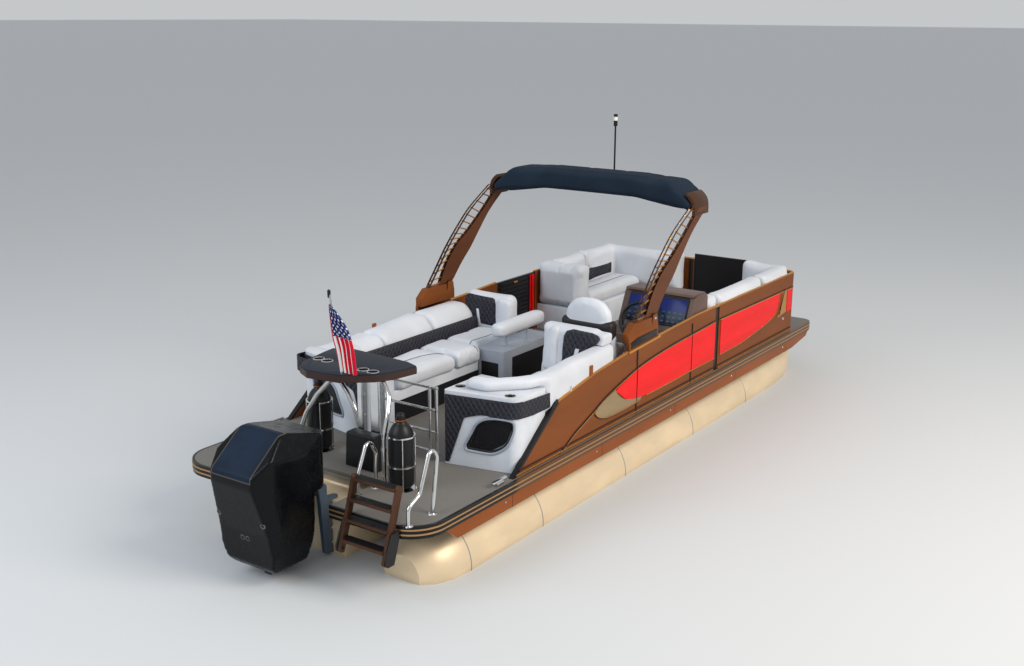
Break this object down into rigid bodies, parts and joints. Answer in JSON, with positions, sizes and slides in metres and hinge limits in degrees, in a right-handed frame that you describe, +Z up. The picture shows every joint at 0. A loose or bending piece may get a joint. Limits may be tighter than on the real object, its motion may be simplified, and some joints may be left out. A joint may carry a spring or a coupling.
{
  "type": "pontoon boat",
  "caption": "Pleasure boat on round float tubes with a fenced deck, cushioned lounges, helm, folding arch, boarding ladder and outboard motor.",
  "frame": {"origin": "on the waterline amidships, at the middle of the deck's length and beam", "axes": "+X to the bow, +Y to port, +Z up"},
  "size_m": [8.1948, 2.59, 3.84],
  "materials": {
    "tube_metal": "satin",
    "frame_metal": "satin",
    "deck_cover": "woven",
    "rail_metal": "satin with bright beads",
    "fence_paint": "metallic gloss",
    "inlay_paint": "gloss",
    "black_paint": "gloss",
    "gelcoat": "gloss",
    "white_vinyl": "soft",
    "quilted_vinyl": "quilted",
    "grey_plastic": "satin",
    "speaker_grille": "mesh",
    "console_shell": "satin",
    "screen": "gloss",
    "bright_metal": "polished",
    "boot_fabric": "woven",
    "flag_cloth": "woven",
    "fender_cover": "matte",
    "board_paint": "satin",
    "engine_paint": "gloss",
    "engine_metal": "plain",
    "bracket_paint": "satin",
    "leg_paint": "satin",
    "prop_metal": "brushed"
  },
  "bodies": {
    "boat": {"tubes_outer": "tube_metal", "tube_centre": "tube_metal", "deck_frame": "frame_metal", "deck": "deck_cover", "rub_rail": "rail_metal", "deck_skirts": "fence_paint", "motor_pod": "tube_metal", "fence_starboard": "fence_paint", "fence_port": "fence_paint", "fence_inlays": "inlay_paint", "fence_trim": "black_paint", "gate_sockets": "bright_metal", "stern_pod_starboard": "gelcoat", "stern_pod_port": "gelcoat", "speakers": "speaker_grille", "quilted_bands": "quilted_vinyl", "lounge_base": "gelcoat", "lounge_seat": "white_vinyl", "lounge_back": "white_vinyl", "lounge_quilt": "quilted_vinyl", "lounge_backrest": "white_vinyl", "armrest_cabinet": "grey_plastic", "armrest_pad": "white_vinyl", "chaise_base": "gelcoat", "chaise_seat": "white_vinyl", "chaise_back": "white_vinyl", "side_bolster": "white_vinyl", "bow_lounge_bases": "gelcoat", "bow_lounge_seats": "white_vinyl", "bow_lounge_backs": "white_vinyl", "helm_console": "console_shell", "helm_screens": "screen", "helm_pedestal": "bright_metal", "arch_feet": "fence_paint", "table_board": "board_paint", "tow_tower": "bright_metal", "flag_pole": "bright_metal", "flag": "flag_cloth", "fenders": "fender_cover", "fender_racks": "bright_metal", "stern_bin": "black_paint", "hand_rails": "bright_metal", "cleats": "bright_metal", "ladder_bracket": "bright_metal", "clamp_bracket": "bracket_paint"},
    "outboard_tilt_bracket": {"swivel_bracket": "bracket_paint"},
    "outboard": {"cowl": "engine_paint", "engine_block": "engine_metal", "drive_leg": "leg_paint"},
    "propeller": {"propeller": "prop_metal"},
    "boarding_ladder": {"ladder": "fence_paint"},
    "stern_gate": {"stern_gate": "bright_metal"},
    "port_gate": {"port_gate": "black_paint"},
    "bow_gate": {"bow_gate": "black_paint"},
    "arch": {"arch_frame": "fence_paint", "canopy_boot": "boot_fabric", "light_pole": "black_paint"},
    "helm_chair": {"helm_chair": "white_vinyl"},
    "helm_wheel": {"helm_wheel": "black_paint"}
  },
  "joints": [
    {"name": "outboard_tilt", "type": "hinge", "parent": "boat", "child": "outboard_tilt_bracket", "pos_m": [-3.61, 0, 0.58], "axis": [0, 1, 0], "range_deg": [0, 65]},
    {"name": "outboard_steer", "type": "hinge", "parent": "outboard_tilt_bracket", "child": "outboard", "pos_m": [-3.73, 0, 0.1], "axis": [0, 0, 1], "range_deg": [-30, 30]},
    {"name": "propeller_spin", "type": "hinge", "parent": "outboard", "child": "propeller", "pos_m": [-4.29, 0, -0.36], "axis": [1, 0, 0], "continuous": true},
    {"name": "ladder_fold", "type": "hinge", "parent": "boat", "child": "boarding_ladder", "pos_m": [-3.927, -0.865, 0.345], "axis": [0, -1, 0], "range_deg": [0, 180]},
    {"name": "stern_gate_swing", "type": "hinge", "parent": "boat", "child": "stern_gate", "pos_m": [-2.605, 0.1, 0.93], "axis": [0, 0, 1], "range_deg": [0, 90]},
    {"name": "port_gate_swing", "type": "hinge", "parent": "boat", "child": "port_gate", "pos_m": [1.429, 1.235, 0.93], "axis": [0, 0, 1], "range_deg": [0, 90]},
    {"name": "bow_gate_swing", "type": "hinge", "parent": "boat", "child": "bow_gate", "pos_m": [3.225, 0.035, 0.93], "axis": [0, 0, -1], "range_deg": [0, 90]},
    {"name": "arch_fold", "type": "hinge", "parent": "boat", "child": "arch", "pos_m": [-0.22, 0, 1.425], "axis": [0, 1, 0], "range_deg": [0, 30]},
    {"name": "chair_swivel", "type": "hinge", "parent": "boat", "child": "helm_chair", "pos_m": [-0.48, -0.82, 0.92], "axis": [0, 0, 1], "range_deg": [-180, 180]},
    {"name": "helm_turn", "type": "hinge", "parent": "boat", "child": "helm_wheel", "pos_m": [0.42575, -0.7, 1.18265], "axis": [-0.9104, 0, 0.4138], "range_deg": [-720, 720]}
  ],
  "couplings": [
    {"joint": "helm_turn", "follows": "outboard_steer", "ratio": 24}
  ]
}
